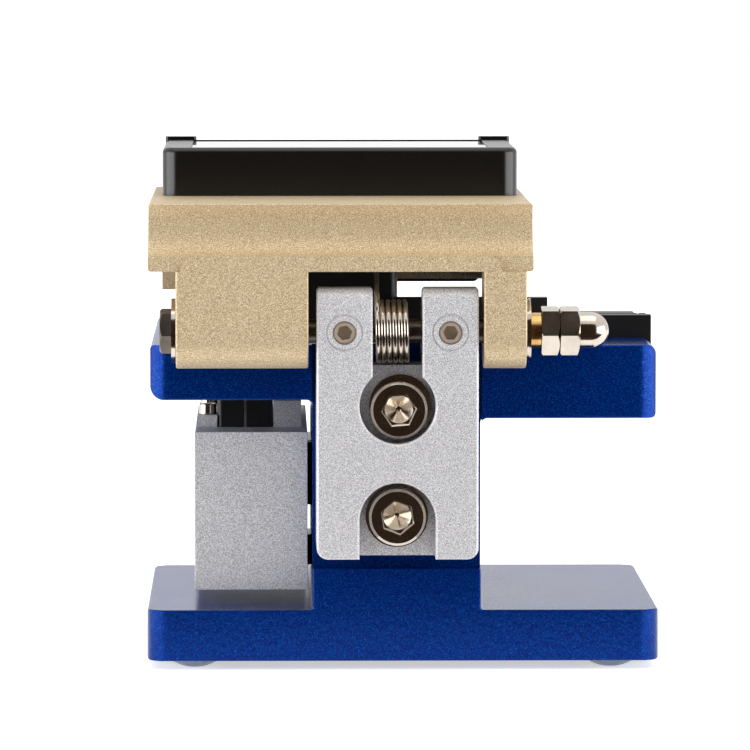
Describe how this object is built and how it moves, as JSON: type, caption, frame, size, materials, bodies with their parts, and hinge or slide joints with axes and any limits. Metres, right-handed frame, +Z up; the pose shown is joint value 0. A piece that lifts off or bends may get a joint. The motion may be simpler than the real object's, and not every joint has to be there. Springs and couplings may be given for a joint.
{
  "type": "optical fibre cleaver",
  "caption": "Bench fibre cleaver: C-shaped casting, sprung hinged lid with clamps and anvil, blade slider on a linear guide, and a fibre stage with a flap.",
  "frame": {"origin": "on the bench, under the middle of the whole cleaver's bounding box", "axes": "+Z up, -Y towards the user, +X towards the blade slider; the lid's hinge axis is along X"},
  "size_m": [0.0636, 0.0646, 0.0647],
  "materials": {
    "blue_paint": "fine-flecked satin paint",
    "gold_paint": "sandy metallic paint",
    "blasted_silver": "fine blasted",
    "black_anodised": "satin black anodised",
    "black_plastic": "fine matte",
    "gloss_panel": "gloss",
    "nickel": "bright nickel plate",
    "guide_steel": "ground",
    "blade_steel": "polished carbide",
    "brass": "turned",
    "pad_rubber": "matte",
    "clear_rubber": "clear, domed"
  },
  "bodies": {
    "base": {"body_casting": "blue_paint", "rubber_feet": "clear_rubber", "hinge_bracket": "blasted_silver", "bracket_bolts": "nickel", "bracket_washers": "nickel", "ear_set_screws": "nickel", "hinge_shaft": "nickel", "shaft_washers": "nickel", "lock_nut": "nickel", "acorn_nut": "nickel", "torsion_spring": "nickel", "lower_pad_holders": "guide_steel", "holder_screws": "nickel", "lower_pads": "pad_rubber", "latch_magnet": "nickel", "fibre_stage": "black_anodised", "stage_screws": "nickel", "fibre_adapter": "black_anodised", "adapter_magnets": "nickel", "flap_pin": "nickel", "guide_block": "guide_steel", "guide_block_ends": "black_plastic", "web_screws": "nickel", "stop_key": "guide_steel"},
    "slider": {"slider_block": "blasted_silver", "guide_rail": "guide_steel", "rail_screws": "nickel", "blade_carrier": "black_anodised", "cheek_spacer": "guide_steel", "carrier_grips": "blasted_silver", "grip_screws": "nickel", "blade_axle": "nickel"},
    "blade": {"cleaving_blade": "blade_steel", "blade_hub": "brass"},
    "lid": {"lid_casting": "gold_paint", "lid_bushes": "brass", "lid_cap": "black_plastic", "cap_panel": "gloss_panel", "cap_screws": "nickel", "finger_tab": "black_anodised", "tab_screws": "nickel", "latch_striker": "guide_steel", "clamp_guide_screws": "nickel"},
    "clamp": {"clamp_plate": "black_anodised", "upper_pads": "pad_rubber", "clamp_springs": "nickel"},
    "anvil": {"anvil_stem": "guide_steel", "anvil_tip": "pad_rubber", "anvil_spring": "nickel"},
    "flap": {"adapter_flap": "black_anodised"}
  },
  "joints": [
    {"name": "lid_hinge", "type": "hinge", "parent": "base", "child": "lid", "pos_m": [0, 0.0277, 0.04245], "axis": [-1, 0, 0], "range_deg": [0, 100], "deforming": ["torsion_spring"]},
    {"name": "slider_travel", "type": "slide", "parent": "base", "child": "slider", "axis": [0, 1, 0], "range_m": [-0.012, 0.008]},
    {"name": "blade_index", "type": "hinge", "parent": "slider", "child": "blade", "pos_m": [0.0196, -0.0041, 0.03305], "axis": [1, 0, 0], "continuous": true},
    {"name": "clamp_lift", "type": "slide", "parent": "lid", "child": "clamp", "axis": [0, 0, 1], "range_m": [0, 0.0008], "stiffness_N_per_m": 400, "springref_m": -0.001, "deforming": ["clamp_springs"]},
    {"name": "anvil_press", "type": "slide", "parent": "lid", "child": "anvil", "axis": [0, 0, -1], "range_m": [0, 0.0015], "stiffness_N_per_m": 300, "springref_m": -0.001, "deforming": ["anvil_spring"]},
    {"name": "flap_hinge", "type": "hinge", "parent": "base", "child": "flap", "pos_m": [-0.0244, 0.00515, 0.04225], "axis": [-1, 0, 0], "range_deg": [0, 85]}
  ]
}
